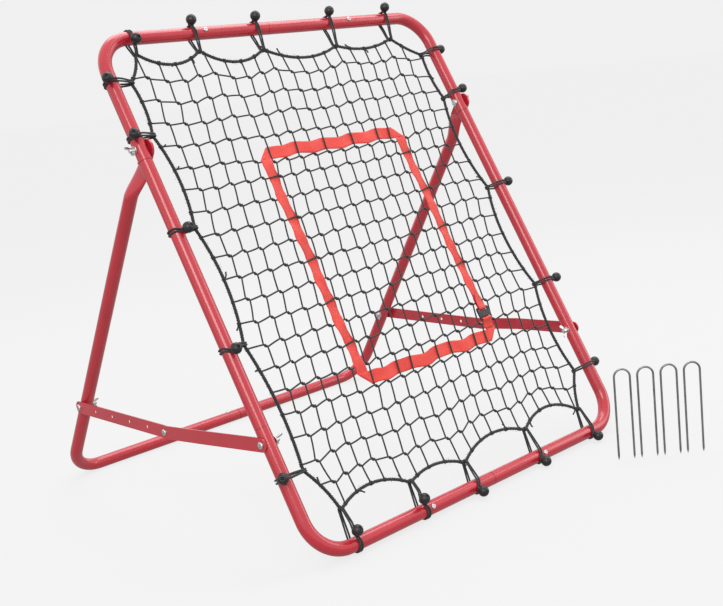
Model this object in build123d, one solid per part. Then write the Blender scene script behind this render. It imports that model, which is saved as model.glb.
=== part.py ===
from build123d import *
import os
from math import acos, atan2, cos, degrees, hypot, radians, sin, sqrt

# A pitching target net: a leaning rectangular frame of joined steel tubes carries a square-mesh net on
# ball bungees, with a webbing target woven into it. A rear frame, whose legs are cranked outwards below
# their flat ends, is hinged behind it, and a two-bar strut on each side sets how far it opens. Four wire
# pegs hold it to the ground.
# Millimetres, +Z up. The thrower stands on the -Y side. The origin is on the floor, under the middle of
# the whole outfit with its pegs set out beside it.

# ---- driving dimensions -------------------------------------------------------------------------
ORIGIN_SHIFT = (-10.9, -293.0, 0.0)  # from the front rail's middle to the middle of the whole
TUBE = 25.0              # outer diameter of every frame tube
WALL = 1.5               # tube wall
SWAGED = 21.8            # diameter of a reduced tube end that slips into the next tube
BEND = 68.0              # centreline radius of the frame's corners
SEAM = 1.0               # visible line between two joined tubes
FRAME_WIDTH = 815.5      # between the front side rails' centrelines
FRAME_LENGTH = 975.0     # between the bottom and top rails' centrelines, up the slope
LEAN = 62.2              # angle between the net and the ground
CORD = 3.4               # thickness of a bungee loop
FRONT_Z = TUBE / 2 + CORD + 0.1   # the bottom rail stands on its bungee loops
REAR_Z = TUBE / 2
REAR_Y = 805.7           # rear rail's centreline behind the front rail's
PIVOT_S = 758.3          # hinge of the rear frame, up the slope from the bottom rail
STRUT_S = 208.3          # front strut bolt, up the slope from the bottom rail
STRUT_REAR = 197.5       # rear strut bolt, up the leg from the rear rail
HOLE_PITCH = 62.4        # adjusting holes along the rear strut bar
HOLE_COUNT = 5           # holes beside the knee
KNEE_SAG = 13.0          # how far the knee hangs below a straight strut
SIDE_JOINTS = (234.0, 735.0)      # lower and upper seams of the side rails
TOP_JOINT_X = -20.0      # seams of the top, bottom and rear rails
BOTTOM_JOINT_X = 16.0
REAR_JOINT_X = 35.0
REAR_SCREWS = (8.0, 62.0)         # splice screws of the rear rail
REAR_JOINT_S = 220.0     # seam of the rear legs above the rear rail
BOLT = 6.0               # shank diameter of the pivot and strut bolts
RUNNING = 0.05           # radial clearance of a turning fit
GAP = 0.35               # side clearance between parts that turn past each other
SHOULDER = 3.0           # length over which a tube end is reduced
FLAT = 4.0               # thickness of a leg's pressed-flat end
FLAT_R = 17.0            # radius of the flat's round end
LEG_CRANK = 14.0         # how far a leg steps outwards below its flat end
BAR_W = 25.0             # strut bar
BAR_T = 2.0
HEAD_R = 6.2             # bolt head
HEAD_H = 3.0
STANDOUT = 10.5          # bolt shank beyond the tube, under its nut
WASHER_R = 7.5
WASHER_T = 1.2
SEAT = 0.1               # clearance under a washer and under its nut
ROPE_R = 3.0             # border rope
BALL_R = 10.0            # bungee ball
NET_T = 1.0
STRAP_W = 25.0           # target webbing
STRAP_T = 1.2

half = FRAME_WIDTH / 2
slope = (cos(radians(LEAN)), sin(radians(LEAN)))
front_plane = Plane(origin=(0, 0, FRONT_Z), x_dir=(1, 0, 0), z_dir=(0, -slope[1], slope[0]))


def up_slope(distance):
    """The (y, z) of a point on the net's plane, a distance up from the bottom rail."""
    return (distance * slope[0], FRONT_Z + distance * slope[1])


def between(a, b):
    return hypot(b[0] - a[0], b[1] - a[1])


PIVOT = up_slope(PIVOT_S)
STRUT_FRONT = up_slope(STRUT_S)
leg_length = between((REAR_Y, REAR_Z), PIVOT)
leg_dir = ((REAR_Y - PIVOT[0]) / leg_length, (REAR_Z - PIVOT[1]) / leg_length)


def down_leg(distance):
    """The (y, z) of a point on the rear frame's plane, a distance down from the hinge."""
    return (PIVOT[0] + distance * leg_dir[0], PIVOT[1] + distance * leg_dir[1])


STRUT_BACK = down_leg(leg_length - STRUT_REAR)
strut_span = between(STRUT_FRONT, STRUT_BACK)
rear_bar_length = HOLE_PITCH * HOLE_COUNT
knee_along = sqrt(rear_bar_length**2 - KNEE_SAG**2)
front_bar_length = hypot(strut_span - knee_along, KNEE_SAG)
chord = ((STRUT_FRONT[0] - STRUT_BACK[0]) / strut_span, (STRUT_FRONT[1] - STRUT_BACK[1]) / strut_span)
# The chord runs forwards, so its left-hand normal points down.
KNEE = (
    STRUT_BACK[0] + chord[0] * knee_along - chord[1] * KNEE_SAG,
    STRUT_BACK[1] + chord[1] * knee_along + chord[0] * KNEE_SAG,
)

# Both flats sit on the +X side of their rails, so the rear frame stands a little to that side.
flat_offset = TUBE / 2 + GAP + FLAT / 2
SIDES = {}
for side_name, side_out in (("left", -1), ("right", 1)):
    side_rail = side_out * half
    side_flat = side_rail + flat_offset
    SIDES[side_name] = {
        "rail": side_rail,
        "out": side_out,
        "flat": side_flat,
        "leg": side_flat + side_out * LEG_CRANK,
    }

os.makedirs("parts", exist_ok=True)


def save(name, *solids):
    """Write one node, moved from the front rail's middle to the shared origin."""
    placed = [Pos(*ORIGIN_SHIFT) * solid for solid in solids]
    shape = placed[0] if len(placed) == 1 else Compound(children=placed)
    export_step(shape, os.path.join("parts", name + ".step"))


# ---- shared shapes -----------------------------------------------------------------------------
def tube(points, outer=TUBE, bend=BEND):
    """A hollow tube along straight runs joined by bends."""
    path = Line(*points) if len(points) == 2 else FilletPolyline(*points, radius=bend)
    start = Plane(origin=path @ 0, z_dir=path % 0)
    section = start * (Circle(outer / 2) - Circle(outer / 2 - WALL))
    return sweep(section, path=path)


def swaged_end(seam, end):
    """The reduced end of a tube between two points, with the shoulder that joins it to the full tube."""
    reach = Line(seam, end)
    plane = Plane(origin=reach @ 0, z_dir=reach % 0)
    shoulder = extrude(plane * (Circle(TUBE / 2) - Circle(SWAGED / 2 - WALL)), -SHOULDER)
    return tube([seam, end], SWAGED) + shoulder


def along_x(x_from, x_to, centre, radius):
    """A cylinder lying along X at a (y, z) centre."""
    low = min(x_from, x_to)
    disc = Plane(origin=(low, centre[0], centre[1]), z_dir=(1, 0, 0)) * Circle(radius)
    return extrude(disc, abs(x_to - x_from))


def facing_x(shape, x, centre, out, turn=0.0):
    """Place a shape made on +Z so that its axis points out along X."""
    tilt = Rot(0, 90 * out, 0) * Rot(0, 0, turn)
    return Pos(x, centre[0], centre[1]) * tilt * shape


def dome_bolt(head_r, head_h, shank_r, shank_length):
    """A round-headed cross-recessed bolt, its head above z = 0 and its shank below."""
    head = extrude(Circle(head_r), head_h)
    head = fillet(head.edges().sort_by(Axis.Z)[-1], head_h * 0.75)
    slot = head_r * 1.05
    depth = head_h * 0.55
    recess = Pos(0, 0, head_h) * (Box(slot, 1.1, 2 * depth) + Box(1.1, slot, 2 * depth))
    return head - recess + extrude(Circle(shank_r), -shank_length)


def wing_nut():
    """A nut with two upswept wings, its flat face at z = 0."""
    hub = extrude(Circle(5.6), 6.5, taper=6)
    outline = [(3.0, 1.0), (7.5, 1.5), (13.6, 8.2), (12.6, 11.6), (9.4, 11.8), (5.0, 6.4), (3.0, 6.2)]
    wing = extrude(Plane.XZ * make_face(Polyline(*outline, close=True)), 1.3, both=True)
    wing = fillet(wing.edges().filter_by(Axis.Y).sort_by(Axis.Z)[-3:], 1.2)
    return hub + wing + mirror(wing, about=Plane.YZ) - Cylinder(BOLT / 2 + RUNNING, 60)


def washer():
    """A flat washer standing on z = 0."""
    return extrude(Circle(WASHER_R) - Circle(BOLT / 2 + 0.1), WASHER_T)


def in_front(shape):
    """Place a shape drawn as (across, up the slope, out towards the thrower) on the net's plane."""
    return front_plane.location * shape


# ---- front frame -------------------------------------------------------------------------------
INSERT = 52.0            # how far a reduced end reaches into the next tube
SLEEVE_PAST = 20.0       # how far a splice reaches past its screws
TOP_SCREWS = (-174.0, 193.0)
BOTTOM_SCREWS = (-150.0, 166.0)
SCREW_R = 2.0
SCREW_LENGTH = 7.0
screw_hole = extrude(Circle(SCREW_R + 0.1), 9.0, both=True)


def screw_holes(spots, level):
    """The holes for the splice screws, bored from the thrower's side."""
    return [Pos(spot, level, TUBE / 2) * screw_hole for spot in spots]


joint_low, joint_high = SIDE_JOINTS
for side, at in SIDES.items():
    x = at["rail"]
    out = at["out"]
    holes = along_x(x - TUBE, x + TUBE, PIVOT, BOLT / 2 + 0.1)
    holes += along_x(x - TUBE, x + TUBE, STRUT_FRONT, BOLT / 2 + 0.1)
    top = [(TOP_JOINT_X + out * SEAM / 2, FRAME_LENGTH), (x, FRAME_LENGTH), (x, joint_high + SEAM / 2)]
    bottom = [(BOTTOM_JOINT_X + out * SEAM / 2, 0), (x, 0), (x, joint_low - SEAM / 2)]
    save("front_corner_top_" + side, in_front(tube(top) - screw_holes(TOP_SCREWS, FRAME_LENGTH)) - holes)
    save("front_corner_bottom_" + side, in_front(tube(bottom) - screw_holes(BOTTOM_SCREWS, 0.0)) - holes)
    rail_ends = (joint_low + SEAM / 2, joint_high - SEAM / 2)
    rail = tube([(x, rail_ends[0]), (x, rail_ends[1])])
    rail += swaged_end((x, rail_ends[0]), (x, joint_low - INSERT))
    rail += swaged_end((x, rail_ends[1]), (x, joint_high + INSERT))
    save("front_side_tube_" + side, in_front(rail) - holes)

SCREW_HEAD_R = 4.6
SCREW_HEAD_H = 2.6
splice_screw = dome_bolt(SCREW_HEAD_R, SCREW_HEAD_H, SCREW_R, SCREW_LENGTH)
screws = []
for name, level, spots in (("top", FRAME_LENGTH, TOP_SCREWS), ("bottom", 0.0, BOTTOM_SCREWS)):
    sleeve = tube([(spots[0] - SLEEVE_PAST, level), (spots[1] + SLEEVE_PAST, level)], SWAGED)
    save("front_splice_" + name, in_front(sleeve - screw_holes(spots, level)))
    screws += [in_front(Pos(spot, level, TUBE / 2) * splice_screw) for spot in spots]
save("front_splice_screws", *screws)

# ---- net, border rope and target ---------------------------------------------------------------
# Places on the net's plane: where each bungee pulls the border out, in order round the net.
TOP_TIES = [(-336, 944), (-199, 939), (-52, 930), (136, 923), (296, 928)]
RIGHT_TIES = [(366, 881), (369, 772), (371, 553), (371, 323), (363, 124)]
BOTTOM_TIES = [(321, 47), (155, 55), (-26, 46), (-164, 54), (-327, 60)]
LEFT_TIES = [(-366, 144), (-374, 378), (-370, 599), (-373, 781), (-370, 887)]
TIES = TOP_TIES + RIGHT_TIES + BOTTOM_TIES + LEFT_TIES
# How far the border falls back towards the net's middle between one tie and the next.
SAGS = [26, 26, 23, 15, 4, 7, 19, 22, 17, 5, 29, 25, 16, 24, 5, 11, 15, 13, 7, 5]


def border_arc(index):
    """The border rope's arc from one tie to the next, bowed towards the net's middle."""
    a = Vector(*TIES[index], 0)
    b = Vector(*TIES[(index + 1) % len(TIES)], 0)
    inward = (b - a).normalized().cross(Vector(0, 0, 1))
    return ThreePointArc(a, (a + b) * 0.5 + inward * SAGS[index], b)


arcs = [border_arc(index) for index in range(len(TIES))]
rope = None
for arc in arcs:
    strand = sweep(Plane(origin=arc @ 0, z_dir=arc % 0) * Circle(ROPE_R), path=arc)
    knuckle = Pos(*(arc @ 0)) * Sphere(ROPE_R)
    rope = strand + knuckle if rope is None else rope + strand + knuckle
outline = make_face(Wire(arcs))
panel = extrude(outline, NET_T / 2, both=True) - rope
save("net_panel", in_front(panel))
save("net_border_rope", in_front(rope))

TARGET_X = (-161.0, 191.0)
TARGET_S = (253.0, 713.0)
target_w = TARGET_X[1] - TARGET_X[0]
target_h = TARGET_S[1] - TARGET_S[0]
target_middle = Pos(sum(TARGET_X) / 2, sum(TARGET_S) / 2, NET_T / 2 + 0.2)
band = Rectangle(target_w + STRAP_W, target_h + STRAP_W)
band -= Rectangle(target_w - STRAP_W, target_h - STRAP_W)
save("target_strap", in_front(target_middle * extrude(band, STRAP_T)))

BUCKLE = (32.0, 26.0, 4.0)        # ladder buckle: across, up the slope, thickness
BUCKLE_SLOT = (27.5, 4.4)
BUCKLE_SLOT_SHIFT = 8.0
buckle_at = Pos(TARGET_X[1] - 3, 298.0, NET_T / 2 + STRAP_T + 0.5)
buckle = extrude(RectangleRounded(BUCKLE[0], BUCKLE[1], 3), BUCKLE[2])
for shift in (-BUCKLE_SLOT_SHIFT, BUCKLE_SLOT_SHIFT):
    buckle -= Pos(0, shift, 0) * extrude(RectangleRounded(*BUCKLE_SLOT, 1), BUCKLE[2])
save("strap_buckle", in_front(buckle_at * buckle))


# ---- bungee loops and balls --------------------------------------------------------------------
LOOP_W = 8.0             # a loop's two strands lie side by side
CORD_BORE = 2.3          # radius of the cord's hole through a ball


def loop(reach):
    """A bungee loop round a rail at the origin and the border rope at a reach along +X."""
    faces = []
    for grow in (CORD, 0.0):
        big = TUBE / 2 + 0.05 + grow
        small = ROPE_R + 0.2 + grow
        cant = acos((big - small) / reach)
        tangents = [(big * cos(cant), big * sin(cant)), (reach + small * cos(cant), small * sin(cant))]
        corners = tangents + [(px, -py) for px, py in reversed(tangents)]
        faces.append(make_face(Polyline(*corners, close=True)) + Circle(big) + Pos(reach, 0) * Circle(small))
    return extrude(faces[0] - faces[1], LOOP_W / 2, both=True)


def ball():
    """A plastic ball with the cord's hole through it."""
    return Sphere(BALL_R) - Cylinder(CORD_BORE, 3 * BALL_R)


# Where each ball rests, as (across, up the slope, out towards the thrower), beside its tie.
BALLS = {
    "top": [(-338, 961, 24), (-201, 994, 19), (-50, 993, 19), (143, 993, 19.5), (303, 993, 19.5)],
    "right": [(434.2, 891, -2), (433.6, 787, 6), (433.6, 555, 6), (433, 321, 9), (434.2, 126, 0.5)],
    "bottom": [(315, -15, 22.5), (147, -15, 22.5), (-35, -14, 22.5), (-171, 19, 24), (-331, 19, 24)],
    "left": [(-424, 143, 21.5), (-409, 370, 26.6), (-399, 594, 25), (-422, 779, 22.8), (-425, 891, 20.5)],
}
LOOPS = {"top": TOP_TIES, "right": RIGHT_TIES, "bottom": BOTTOM_TIES, "left": LEFT_TIES}
LOOP_SPOT_RIGHT = 781.0  # the loop beside the right hinge sits clear above it
for side, ties in LOOPS.items():
    loops = []
    for tie in ties:
        if side in ("top", "bottom"):
            level = FRAME_LENGTH if side == "top" else 0.0
            turn = -90 if side == "top" else 90
            stand = Rot(0, 0, turn) * Rot(90, 0, 0)
            loops.append(Pos(tie[0], level, 0) * stand * loop(abs(level - tie[1])))
        else:
            rail_x = SIDES[side]["rail"]
            spot = LOOP_SPOT_RIGHT if tie == RIGHT_TIES[1] else tie[1]
            stand = Rot(0, 0, 180 if side == "right" else 0) * Rot(90, 0, 0)
            loops.append(Pos(rail_x, spot, 0) * stand * loop(abs(rail_x - tie[0])))
    # Each loop goes round the border rope and through the mesh beside it.
    save("bungee_loops_" + side, *[in_front(one - rope - panel) for one in loops])
    balls = [in_front(Pos(*spot) * Rot(35, 20, 0) * ball()) for spot in BALLS[side]]
    save("bungee_balls_" + side, *balls)

# ---- rear frame --------------------------------------------------------------------------------
FLAT_END = 42.0          # where the flat starts to open out, down from the hinge
ROUND_START = 98.0       # where the leg is a full round tube again
NECK = [  # distance down the leg, share of the crank, half thickness, half width
    (FLAT_END - 8, 0.0, FLAT / 2 - 0.1, FLAT_R - 1),
    (FLAT_END + 16, 0.14, 4.6, FLAT_R),
    (FLAT_END + 36, 0.62, 9.0, 15.2),
    (ROUND_START, 1.0, TUBE / 2, TUBE / 2),
]


def neck_loft(at, sections, inset):
    """The leg's change from flat to round, through ellipses that shift sideways with the crank."""
    faces = []
    for down, share, half_thickness, half_width in sections:
        x = at["flat"] + share * (at["leg"] - at["flat"])
        plane = Plane(origin=(x, *down_leg(down)), x_dir=(1, 0, 0), z_dir=(0, *leg_dir))
        faces.append(plane * Ellipse(half_thickness - inset, half_width - inset))
    return loft(faces)


def leg_tube(x, start, end):
    return tube([(x, *down_leg(start)), (x, *down_leg(end))])


leg_joint = leg_length - REAR_JOINT_S
for side, at in SIDES.items():
    x = at["leg"]
    out = at["out"]
    neck = neck_loft(at, NECK, 0.0) - neck_loft(at, NECK[1:], WALL)
    flat_plane = Plane(origin=(at["flat"] - FLAT / 2, *PIVOT), x_dir=(0, *leg_dir), z_dir=(1, 0, 0))
    flat_outline = Circle(FLAT_R) + Pos(FLAT_END / 2, 0) * Rectangle(FLAT_END, 2 * FLAT_R)
    flat = extrude(flat_plane * flat_outline, FLAT)
    leg = flat + neck + leg_tube(x, ROUND_START, leg_joint - SEAM / 2)
    leg += swaged_end((x, *down_leg(leg_joint - SEAM / 2)), (x, *down_leg(leg_joint + INSERT)))
    leg -= along_x(x - 40, x + 40, PIVOT, BOLT / 2 + RUNNING)
    leg -= along_x(x - 40, x + 40, STRUT_BACK, BOLT / 2 + 0.1)
    save("rear_leg_" + side, leg)
    corner_points = [
        (REAR_JOINT_X + out * SEAM / 2, REAR_Y, REAR_Z),
        (x, REAR_Y, REAR_Z),
        (x, *down_leg(leg_joint + SEAM / 2)),
    ]
    corner = tube(corner_points)
    corner -= [Pos(spot, REAR_Y, REAR_Z + TUBE / 2) * screw_hole for spot in REAR_SCREWS]
    corner -= along_x(x - 40, x + 40, STRUT_BACK, BOLT / 2 + 0.1)
    save("rear_corner_" + side, corner)

REAR_SLEEVE_HALF = 55.0
rear_screws = []
sleeve_ends = [(REAR_JOINT_X + end * REAR_SLEEVE_HALF, REAR_Y, REAR_Z) for end in (-1, 1)]
rear_sleeve = tube(sleeve_ends, SWAGED)
for spot in REAR_SCREWS:
    rear_sleeve -= Pos(spot, REAR_Y, REAR_Z + TUBE / 2) * screw_hole
    rear_screws.append(Pos(spot, REAR_Y, REAR_Z + TUBE / 2) * splice_screw)
save("rear_splice", rear_sleeve)
save("rear_splice_screws", *rear_screws)

# ---- struts ------------------------------------------------------------------------------------
STRUT_HOLE_R = 3.25
JOGGLE = (14.0, 180.0)   # where the front bar steps outwards, from its front bolt


def strut_bar(start, end, x_start, x_end, holes):
    """A flat bar with round ends between two (y, z) pivots, its inner face stepping from one x to another."""
    length = between(start, end)
    aim = degrees(atan2(end[1] - start[1], end[0] - start[0]))
    outline = Pos(length / 2, 0) * SlotCenterToCenter(length, BAR_W)
    side = 1 if x_end > 0 else -1
    ramp = [(-BAR_W, x_start), (JOGGLE[0], x_start), (JOGGLE[1], x_end), (length + BAR_W, x_end)]
    if x_start == x_end:
        ramp = [ramp[0], ramp[-1]]
    strip = ramp + [(px, py + side * BAR_T) for px, py in reversed(ramp)]
    # The profile lies across X and along the bar; sideways of it is the bar's width.
    lengthways = Vector(0, cos(radians(aim)), sin(radians(aim)))
    profile_plane = Plane(origin=(0, *start), x_dir=lengthways, z_dir=Vector(1, 0, 0).cross(lengthways) * -1)
    profile = extrude(profile_plane * make_face(Polyline(*strip, close=True)), BAR_W, both=True)
    blank_plane = Plane(origin=(min(x_start, x_end) - 20, *start), x_dir=lengthways, z_dir=(1, 0, 0))
    bar = profile & extrude(blank_plane * outline, abs(x_end - x_start) + 40)
    for distance, radius in holes:
        place = (start[0] + lengthways.Y * distance, start[1] + lengthways.Z * distance)
        bar -= along_x(x_start - 60, x_start + 60, place, radius)
    return bar


KNEE_PLAY = 0.3          # between the two bars at the knee
RIVET_R = 4.0
RIVET_HEAD_R = 6.0
RIVET_HOLLOW = 1.6       # radius of the hollow in a rivet's tail
HEAD_TURN = 20.0         # how far a cross recess is turned
nut_spots = {}
front_bolts, front_washers, rear_bolts, rear_washers, pivot_bolts = [], [], [], [], []
pin_fit = BOLT / 2 + RUNNING
for side, at in SIDES.items():
    out = at["out"]
    leg_face = at["leg"] + out * (TUBE / 2 + GAP)
    rail_face = at["rail"] + out * (TUBE / 2 + GAP)
    rear_x = out * max(abs(leg_face), abs(rail_face))
    knee_x = rear_x + out * (BAR_T + KNEE_PLAY)
    spare = [(HOLE_PITCH * step, STRUT_HOLE_R) for step in range(1, HOLE_COUNT)]
    holes = [(0, pin_fit), (rear_bar_length, RIVET_R)] + spare
    save("strut_rear_" + side, strut_bar(STRUT_BACK, KNEE, rear_x, rear_x, holes))
    holes = [(0, pin_fit), (front_bar_length, RIVET_R)]
    save("strut_front_" + side, strut_bar(STRUT_FRONT, KNEE, rail_face, knee_x, holes))
    # The knee rivet: a domed head in the front bar, a flush tail in the rear bar.
    head = dome_bolt(RIVET_HEAD_R, HEAD_H, RIVET_R, BAR_T)
    save("knee_rivet_head_" + side, facing_x(head, knee_x + out * BAR_T, KNEE, out))
    tail = extrude(Circle(RIVET_R) - Circle(RIVET_HOLLOW), BAR_T)
    save("knee_rivet_tail_" + side, facing_x(tail, rear_x, KNEE, out))
    # Strut bolts: heads outside the bars, wing nuts inside the tubes.
    for spot, tube_x, bar_x, bolts, washers, name in (
        (STRUT_FRONT, at["rail"], rail_face, front_bolts, front_washers, "strut_front"),
        (STRUT_BACK, at["leg"], rear_x, rear_bolts, rear_washers, "strut_rear"),
    ):
        inner = tube_x - out * TUBE / 2
        head_x = bar_x + out * (BAR_T + GAP)
        bolt = dome_bolt(HEAD_R, HEAD_H, BOLT / 2, abs(head_x - inner) + STANDOUT)
        bolts.append(facing_x(bolt, head_x, spot, out, HEAD_TURN))
        washers.append(facing_x(washer(), inner - out * SEAT, spot, -out))
        nut_spots[name + "_" + side] = (inner - out * (WASHER_T + SEAT + GAP), spot, -out)
    # Hinge bolts: the head is on the flat's side at left and on the rail's side at right.
    flat_face = at["flat"] + FLAT / 2 + GAP
    rail_side = at["rail"] - TUBE / 2
    front_washers.append(facing_x(washer(), rail_side - SEAT, PIVOT, -1))
    if side == "left":
        bolt = dome_bolt(HEAD_R, HEAD_H, BOLT / 2, flat_face - rail_side + STANDOUT)
        pivot_bolts.append(facing_x(bolt, flat_face, PIVOT, 1, HEAD_TURN))
        nut_spots["pivot_left"] = (rail_side - WASHER_T - SEAT - GAP, PIVOT, -1)
    else:
        head_x = rail_side - WASHER_T - SEAT
        bolt = dome_bolt(HEAD_R, HEAD_H, BOLT / 2, flat_face - head_x + STANDOUT)
        pivot_bolts.append(facing_x(bolt, head_x, PIVOT, -1, HEAD_TURN))
        nut_spots["pivot_right"] = (flat_face, PIVOT, 1)
save("strut_front_bolts", *front_bolts)
save("strut_rear_bolts", *rear_bolts)
save("pivot_bolts", *pivot_bolts)
save("front_washers", *front_washers)
save("rear_washers", *rear_washers)
WING_TURN = {
    "pivot_left": 60,
    "pivot_right": 25,
    "strut_front_left": 35,
    "strut_front_right": 28,
    "strut_rear_left": 34,
    "strut_rear_right": 50,
}
for name, (x, spot, out) in nut_spots.items():
    save("wing_nut_" + name, facing_x(wing_nut(), x, spot, out, WING_TURN[name]))

# ---- ground pegs -------------------------------------------------------------------------------
PEG_WIRE = 4.0
PEG_GAP = TUBE + 1.0     # a peg straddles a ground rail
PEG_LENGTH = 180.0
PEG_TIP = 7.0
PEG_PITCH = 44.0
PEG_TURN = -43.0         # the row runs across the front right corner
PEG_START = (262.0, -130.0)


def ground_peg():
    """A round-topped wire peg with pointed legs, standing on its tips."""
    reach = (PEG_GAP + PEG_WIRE) / 2
    shoulder = PEG_LENGTH - PEG_WIRE / 2 - reach
    rise = Line((-reach, 0, PEG_TIP), (-reach, 0, shoulder))
    crown = ThreePointArc((-reach, 0, shoulder), (0, 0, shoulder + reach), (reach, 0, shoulder))
    fall = Line((reach, 0, shoulder), (reach, 0, PEG_TIP))
    path = Wire([rise, crown, fall])
    peg = sweep(Plane(origin=path @ 0, z_dir=path % 0) * Circle(PEG_WIRE / 2), path=path)
    for x in (-reach, reach):
        peg += Pos(x, 0, PEG_TIP / 2) * Cone(0.5, PEG_WIRE / 2, PEG_TIP)
    return peg


for index in range(4):
    x = PEG_START[0] + index * PEG_PITCH * cos(radians(PEG_TURN))
    y = PEG_START[1] + index * PEG_PITCH * sin(radians(PEG_TURN))
    save("ground_peg_" + str(index + 1), Pos(x, y, 0) * Rot(0, 0, PEG_TURN) * ground_peg())

ox, oy, oz = ORIGIN_SHIFT
for label, point in (("hinge", PIVOT), ("strut front", STRUT_FRONT), ("strut rear", STRUT_BACK), ("knee", KNEE)):
    print(label, "y %.2f z %.2f" % (point[0] + oy, point[1] + oz))
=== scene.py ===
# %% [markdown]
# # A pitching target net
# A leaning steel frame holds a square-mesh net on ball bungees, and an orange-red strap woven into
# the net marks the strike zone. The tubes, struts and bolts come from the CAD frame and only need
# finishes. The net, ropes, cords, balls, strap and buckle are made here, in metres, in the same frame.

import math
import random

import bmesh
import bpy
from mathutils import Matrix, Vector
from mathutils.geometry import convex_hull_2d, intersect_line_line_2d


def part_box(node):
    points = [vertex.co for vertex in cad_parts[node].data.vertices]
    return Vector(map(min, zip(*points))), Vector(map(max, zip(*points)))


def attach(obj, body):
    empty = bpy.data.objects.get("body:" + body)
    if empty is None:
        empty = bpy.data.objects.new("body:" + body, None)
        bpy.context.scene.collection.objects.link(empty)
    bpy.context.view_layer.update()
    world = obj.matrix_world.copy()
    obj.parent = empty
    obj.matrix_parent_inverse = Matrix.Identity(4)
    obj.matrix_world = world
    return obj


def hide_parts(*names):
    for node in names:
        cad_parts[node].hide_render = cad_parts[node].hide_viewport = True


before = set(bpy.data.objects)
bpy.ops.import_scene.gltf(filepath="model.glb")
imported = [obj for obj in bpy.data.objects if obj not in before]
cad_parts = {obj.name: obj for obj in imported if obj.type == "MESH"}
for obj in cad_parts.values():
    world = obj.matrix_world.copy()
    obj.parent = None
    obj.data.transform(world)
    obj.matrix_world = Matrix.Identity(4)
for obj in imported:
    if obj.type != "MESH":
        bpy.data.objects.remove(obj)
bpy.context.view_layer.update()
MM = 0.001

# %% [markdown]
# ## The plane of the net
# The net is flat and leans back, so it is far easier to draw lying down: x across, y up the slope and
# z out towards the thrower. One matrix then stands a finished mesh up in the frame. The matrix comes
# from the two splices in the middle of the top and bottom rails, so it follows the CAD if that changes.

# %% Measure the net's plane
def middle(node):
    low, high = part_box(node)
    return (low + high) / 2


foot = middle("front_splice_bottom")
head = middle("front_splice_top")
left_rail = middle("front_side_tube_left").x
right_rail = middle("front_side_tube_right").x
foot.x = head.x = (left_rail + right_rail) / 2
half_width = (right_rail - left_rail) / 2
rail_length = (head - foot).length
side_low, side_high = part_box("front_side_tube_left")
tube_radius = (side_high.x - side_low.x) / 2

across = Vector((1, 0, 0))
up_slope = (head - foot).normalized()
to_thrower = across.cross(up_slope)
net_to_frame = Matrix((across, up_slope, to_thrower)).transposed().to_4x4()
net_to_frame.translation = foot
frame_to_net = net_to_frame.inverted()
print("rails %.1f x %.1f mm apart" % (2 * half_width / MM, rail_length / MM))

# %% [markdown]
# ## The camera
# The camera stands low at the thrower's left and is rolled a little, so the outfit leans in the view.
# Turn, tilt and roll are kept as plain angles, and the matrix is made by turning about Z, X and Z again.

# %% Place the camera
CAMERA_PLACE = Vector((-1.4966, -1.6632, 0.7877))
CAMERA_TURN = -41.9
CAMERA_TILT = 11.59
CAMERA_ROLL = -6.27
CAMERA_LENS = 57.4


def turned(degrees, axis):
    return Matrix.Rotation(math.radians(degrees), 4, axis)


camera = bpy.data.objects.new("camera", bpy.data.cameras.new("camera"))
bpy.context.scene.collection.objects.link(camera)
camera.data.lens = CAMERA_LENS
camera.matrix_world = (
    Matrix.Translation(CAMERA_PLACE)
    @ turned(CAMERA_TURN, "Z")
    @ turned(90 - CAMERA_TILT, "X")
    @ turned(CAMERA_ROLL, "Z")
)
bpy.context.scene.camera = camera
print("camera", [round(value, 3) for value in CAMERA_PLACE])

# %% [markdown]
# ## Floor and light
# A bright, even studio: the world gives a soft fill from everywhere, one large panel at the front left
# shapes the tubes, and a long strip high behind draws the thin highlight that runs along each of them.
# The floor glows faintly as well as being lit, so that it fades into the background with no horizon.

# %% Light the studio
BACKGROUND = 0.875
FILL = 1.0
AIM = (0, 0, 0.4)
bpy.context.scene.view_settings.view_transform = "Standard"
world = bpy.data.worlds.new("studio")
world.use_nodes = True
air = world.node_tree
air.nodes["Background"].inputs["Color"].default_value = (1, 1, 1, 1)
seen = air.nodes.new("ShaderNodeLightPath")
strength = air.nodes.new("ShaderNodeMapRange")
strength.inputs["To Min"].default_value = FILL
strength.inputs["To Max"].default_value = BACKGROUND
air.links.new(seen.outputs["Is Camera Ray"], strength.inputs["Value"])
air.links.new(strength.outputs["Result"], air.nodes["Background"].inputs["Strength"])
bpy.context.scene.world = world


def panel_light(name, place, width, height, power):
    """A rectangular soft light that looks from its place at the middle of the outfit."""
    data = bpy.data.lights.new(name, "AREA")
    data.shape = "RECTANGLE"
    data.size = width
    data.size_y = height
    data.energy = power
    light = bpy.data.objects.new(name, data)
    light.location = place
    light.rotation_euler = (Vector(AIM) - Vector(place)).to_track_quat("-Z", "Y").to_euler()
    bpy.context.scene.collection.objects.link(light)


panel_light("key_panel", (-2.6, -2.2, 2.6), 1.8, 1.8, 50)
panel_light("top_panel", (0.9, 0.5, 2.7), 3.0, 1.5, 34)
panel_light("side_fill", (2.8, -1.6, 1.4), 1.2, 2.0, 14)

# %% Lay the floor
FLOOR_SIZE = 60.0
bpy.ops.mesh.primitive_plane_add(size=FLOOR_SIZE)
floor = bpy.context.object
floor.name = "floor"


def put(tree, kind, inputs=None, **settings):
    """Add a node to a tree, set its own settings, then set or link its inputs."""
    node = tree.nodes.new(kind)
    for name, value in settings.items():
        setattr(node, name, value)
    for name, value in (inputs or {}).items():
        socket = node.inputs[name]
        if isinstance(value, bpy.types.NodeSocket):
            tree.links.new(value, socket)
        else:
            socket.default_value = value
    return node


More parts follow.
